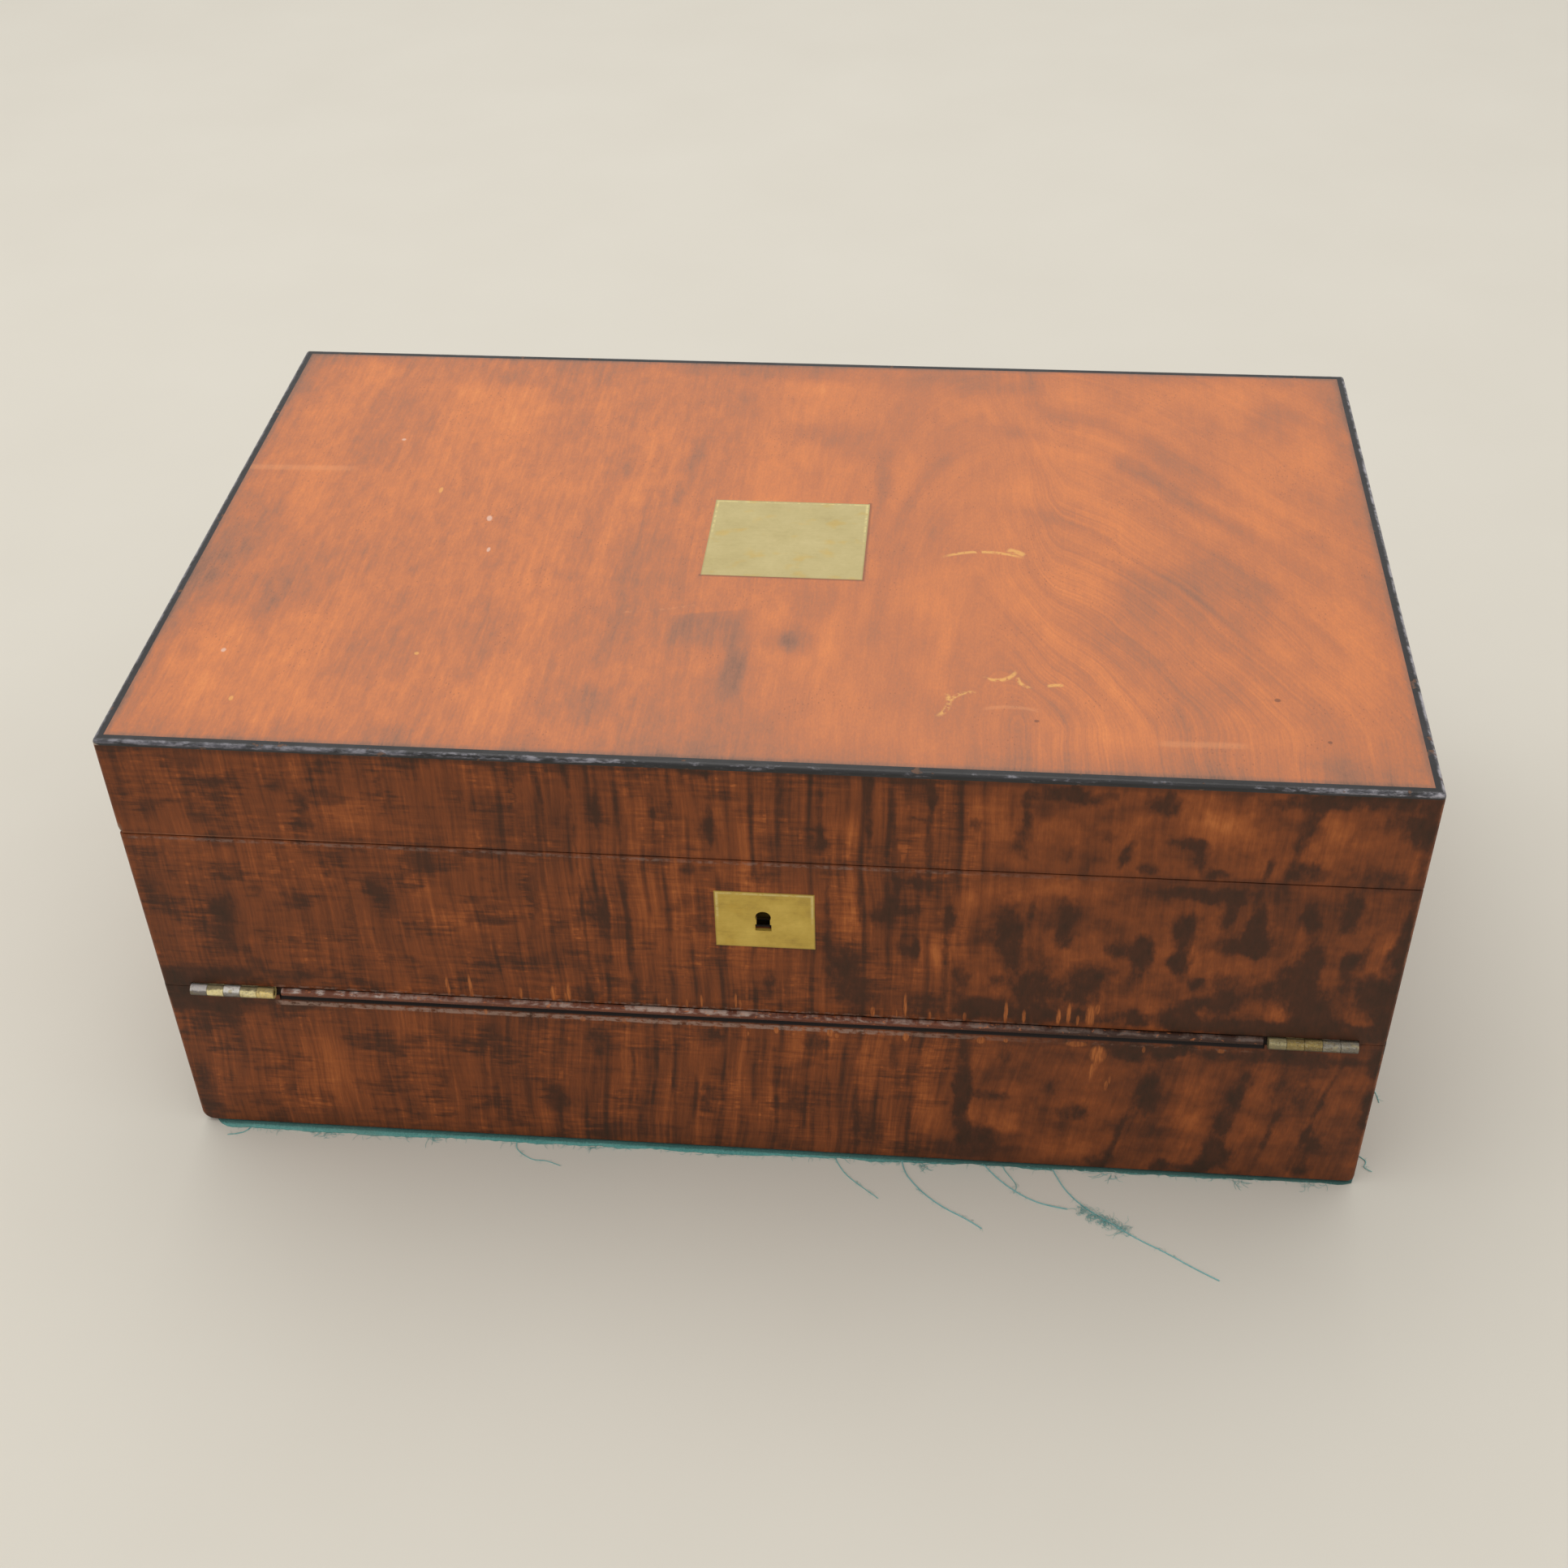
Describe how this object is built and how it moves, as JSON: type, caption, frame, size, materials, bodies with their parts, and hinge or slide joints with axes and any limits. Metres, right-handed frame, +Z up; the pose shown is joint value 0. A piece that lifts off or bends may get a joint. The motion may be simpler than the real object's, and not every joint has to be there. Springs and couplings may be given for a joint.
{
  "type": "writing slope",
  "caption": "Box whose lid opens at the back and whose front flap folds forward to make a sloping writing surface, with pen tray, inkwells and letter rack.",
  "frame": {"origin": "middle of the footprint, on the surface the box stands on", "axes": "+X to the right, +Y to the back (the lock and the front hinges are on the -Y side), +Z up"},
  "size_m": [0.406, 0.2972, 0.1752],
  "materials": {
    "veneer_front": "figured mahogany veneer, old french polish, dark streaks",
    "veneer_top": "orange-red swirl mahogany veneer, worn polish",
    "mahogany_bead": "polished mahogany, rubbed",
    "ebonised_edging": "ebonised, glossy, worn at the arris",
    "mahogany_inside": "solid mahogany, satin",
    "pine": "bare pine, aged",
    "baize_sole": "teal green baize",
    "baize_leaf": "green baize writing surface",
    "lining": "green baize lining",
    "brass_hinge": "corroded brass",
    "brass_plate": "brass, dull patina, fine scratches",
    "brass_small": "brass, dull",
    "lock_iron": "dark iron",
    "ink_glass": "clear pressed glass",
    "inkwell_brass": "polished brass"
  },
  "bodies": {
    "base": {"front_hinge_base_leaves": "brass_hinge", "back_hinge_base_leaves": "brass_hinge", "hinge_pins": "brass_small", "base_hinge_screws": "brass_small", "front_joint_bead": "mahogany_bead", "base_front_wall": "veneer_front", "base_back_wall": "veneer_front", "base_left_wall": "veneer_front", "base_right_wall": "veneer_front", "base_bottom_board": "pine", "base_baize": "baize_sole", "ink_shelf": "mahogany_inside", "slope_riser": "mahogany_inside", "rack_front_board": "mahogany_inside", "rack_dividers": "mahogany_inside", "inkwell_dividers": "mahogany_inside", "pen_tray_rests": "mahogany_inside", "upper_writing_leaf": "mahogany_inside", "upper_leaf_baize": "baize_leaf", "upper_leaf_bearers": "pine", "loose_thread_left": "baize_sole", "loose_thread_middle": "baize_sole", "loose_thread_right": "baize_sole"},
    "flap": {"flap_front_wall": "veneer_front", "flap_left_wall": "veneer_front", "flap_right_wall": "veneer_front", "flap_rear_rail": "mahogany_inside", "flap_top_panel": "mahogany_inside", "lower_writing_leaf": "mahogany_inside", "lower_leaf_baize": "baize_leaf", "lower_leaf_bearers": "pine", "front_hinge_flap_leaves": "brass_hinge", "front_hinge_flap_screws": "brass_small", "escutcheon": "brass_plate", "lock_plate": "brass_plate", "lock_case": "lock_iron", "lock_pins": "lock_iron", "lock_lever": "lock_iron", "lock_spring": "lock_iron", "lock_screws": "brass_small"},
    "lock_bolt": {"lock_bolt": "lock_iron"},
    "lid": {"lid_front_rail": "veneer_front", "lid_back_rail": "veneer_front", "lid_left_rail": "veneer_front", "lid_right_rail": "veneer_front", "lid_top_panel": "veneer_top", "lid_plate": "brass_plate", "lid_lining": "lining", "lid_edging": "ebonised_edging", "link_plate": "brass_plate", "lid_screws": "brass_small", "back_hinge_lid_leaves": "brass_hinge"},
    "pen_tray": {"pen_tray": "mahogany_inside"},
    "inkwell_left": {"inkwell_left_bottle": "ink_glass", "inkwell_left_collar": "inkwell_brass"},
    "inkwell_left_cap": {"inkwell_left_cap": "inkwell_brass"},
    "inkwell_right": {"inkwell_right_bottle": "ink_glass", "inkwell_right_collar": "inkwell_brass"},
    "inkwell_right_cap": {"inkwell_right_cap": "inkwell_brass"}
  },
  "joints": [
    {"name": "lid_hinge", "type": "hinge", "parent": "base", "child": "lid", "pos_m": [0, 0.126, 0.1374], "axis": [-1, 0, 0], "range_deg": [0, 180]},
    {"name": "flap_hinge", "type": "hinge", "parent": "base", "child": "flap", "pos_m": [0, -0.126, 0.06905], "axis": [1, 0, 0], "range_deg": [0, 180]},
    {"name": "bolt_slide", "type": "slide", "parent": "flap", "child": "lock_bolt", "axis": [1, 0, 0], "range_m": [0, 0.0045]},
    {"name": "pen_tray_lift", "type": "slide", "parent": "base", "child": "pen_tray", "axis": [0, 0, 1], "range_m": [0, 0.025]},
    {"name": "inkwell_left_lift", "type": "slide", "parent": "base", "child": "inkwell_left", "axis": [0, 0, 1], "range_m": [0, 0.025]},
    {"name": "inkwell_left_cap_hinge", "type": "hinge", "parent": "inkwell_left", "child": "inkwell_left_cap", "pos_m": [-0.17, 0.0494, 0.1207], "axis": [-1, 0, 0], "range_deg": [0, 100]},
    {"name": "inkwell_right_lift", "type": "slide", "parent": "base", "child": "inkwell_right", "axis": [0, 0, 1], "range_m": [0, 0.025]},
    {"name": "inkwell_right_cap_hinge", "type": "hinge", "parent": "inkwell_right", "child": "inkwell_right_cap", "pos_m": [0.17, 0.0494, 0.1207], "axis": [-1, 0, 0], "range_deg": [0, 100]}
  ],
  "couplings": [
    {"joint": "flap_hinge", "follows": "lid_hinge", "ratio": 1}
  ]
}
